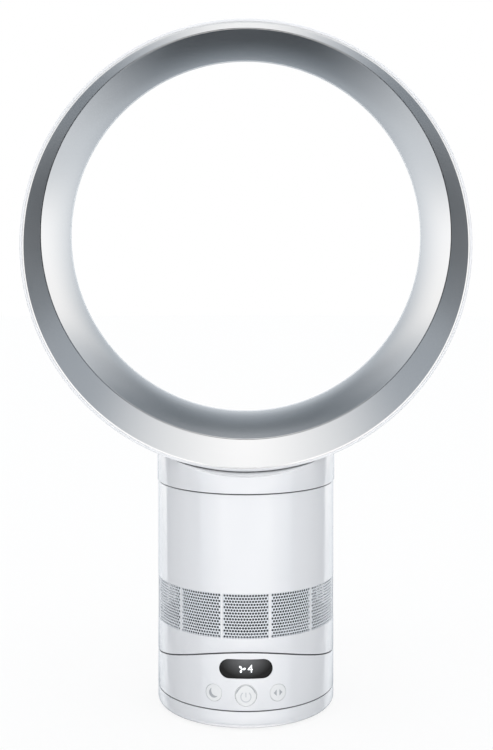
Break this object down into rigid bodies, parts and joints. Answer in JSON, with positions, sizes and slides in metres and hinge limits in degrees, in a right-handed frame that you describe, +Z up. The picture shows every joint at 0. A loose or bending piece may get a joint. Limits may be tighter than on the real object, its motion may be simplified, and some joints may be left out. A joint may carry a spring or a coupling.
{
  "type": "bladeless fan",
  "caption": "Free-standing bladeless table fan: a round base column with intake band, display and push buttons, and an upright hollow air loop; it swings, tilts and spins inside.",
  "frame": {"origin": "centre of the base's underside, on the surface that the fan stands on", "axes": "+Z up; +Y to the rear, so the display and buttons face -Y; +X to the viewer's right"},
  "size_m": [0.3559, 0.1454, 0.552],
  "materials": {
    "white_shell": "gloss",
    "silver_shell": "satin metallic",
    "intake_mesh": "satin",
    "black_window": "gloss",
    "white_button": "satin",
    "black_rubber": "matte",
    "grey_plastic": "matte",
    "bearing_plastic": "matte",
    "steel": "brushed",
    "laminations": "matte",
    "copper_wire": "satin",
    "magnet": "matte",
    "circuit_board": "satin",
    "motor_case": "satin"
  },
  "bodies": {
    "foot": {"foot_shell": "white_shell", "foot_pads": "black_rubber", "power_inlet": "grey_plastic", "toothed_sector": "bearing_plastic", "glide_posts": "bearing_plastic", "hub_retainer": "grey_plastic"},
    "control_section": {"turntable_deck": "grey_plastic", "swing_motor": "motor_case", "control_shell": "white_shell", "display_window": "black_window", "display_module": "grey_plastic", "infrared_receiver": "grey_plastic", "control_board": "circuit_board", "press_switches": "grey_plastic", "mains_board": "circuit_board"},
    "drive_pinion": {"drive_pinion": "bearing_plastic"},
    "power_button": {"power_button": "white_button"},
    "sleep_button": {"sleep_button": "white_button"},
    "swing_button": {"swing_button": "white_button"},
    "main_body": {"tilt_carriage": "grey_plastic", "body_shell": "white_shell", "intake_screen": "intake_mesh", "impeller_housing": "grey_plastic", "mount_ring": "black_rubber", "motor_bucket": "grey_plastic", "bucket_cap": "grey_plastic", "bearing_cartridge": "steel", "stator_core": "laminations", "stator_coils": "copper_wire", "motor_board": "circuit_board"},
    "rotor": {"impeller": "grey_plastic", "motor_shaft": "steel", "rotor_magnet": "magnet", "impeller_nut": "steel"},
    "loop": {"neck_collar": "white_shell", "air_divider": "grey_plastic", "loop_casing": "white_shell", "diffuser_ring": "silver_shell", "slot_spacers": "grey_plastic"}
  },
  "joints": [
    {"name": "swing", "type": "hinge", "parent": "foot", "child": "control_section", "pos_m": [0, 0, 0.0153], "axis": [0, 0, 1], "range_deg": [-35, 35]},
    {"name": "pinion_turn", "type": "hinge", "parent": "control_section", "child": "drive_pinion", "pos_m": [0, 0.0405, 0.0073], "axis": [0, 0, 1], "range_deg": [-193, 193]},
    {"name": "body_tilt", "type": "hinge", "parent": "control_section", "child": "main_body", "pos_m": [0, 0, 0.209], "axis": [1, 0, 0], "range_deg": [-10, 10]},
    {"name": "power_press", "type": "slide", "parent": "control_section", "child": "power_button", "axis": [0, 1, 0], "range_m": [0, 0.001], "stiffness_N_per_m": 400, "springref_m": -0.0005},
    {"name": "sleep_press", "type": "slide", "parent": "control_section", "child": "sleep_button", "axis": [0.3453, 0.9385, 0], "range_m": [0, 0.001], "stiffness_N_per_m": 400, "springref_m": -0.0005},
    {"name": "swing_press", "type": "slide", "parent": "control_section", "child": "swing_button", "axis": [-0.3453, 0.9385, 0], "range_m": [0, 0.001], "stiffness_N_per_m": 400, "springref_m": -0.0005},
    {"name": "impeller_spin", "type": "hinge", "parent": "main_body", "child": "rotor", "pos_m": [0, 0, 0.09], "axis": [0, 0, 1], "continuous": true},
    {"name": "loop_twist", "type": "hinge", "parent": "main_body", "child": "loop", "pos_m": [0, 0, 0.1825], "axis": [0, 0, 1], "range_deg": [0, 15]}
  ],
  "couplings": [
    {"joint": "pinion_turn", "follows": "swing", "ratio": -5.5}
  ]
}
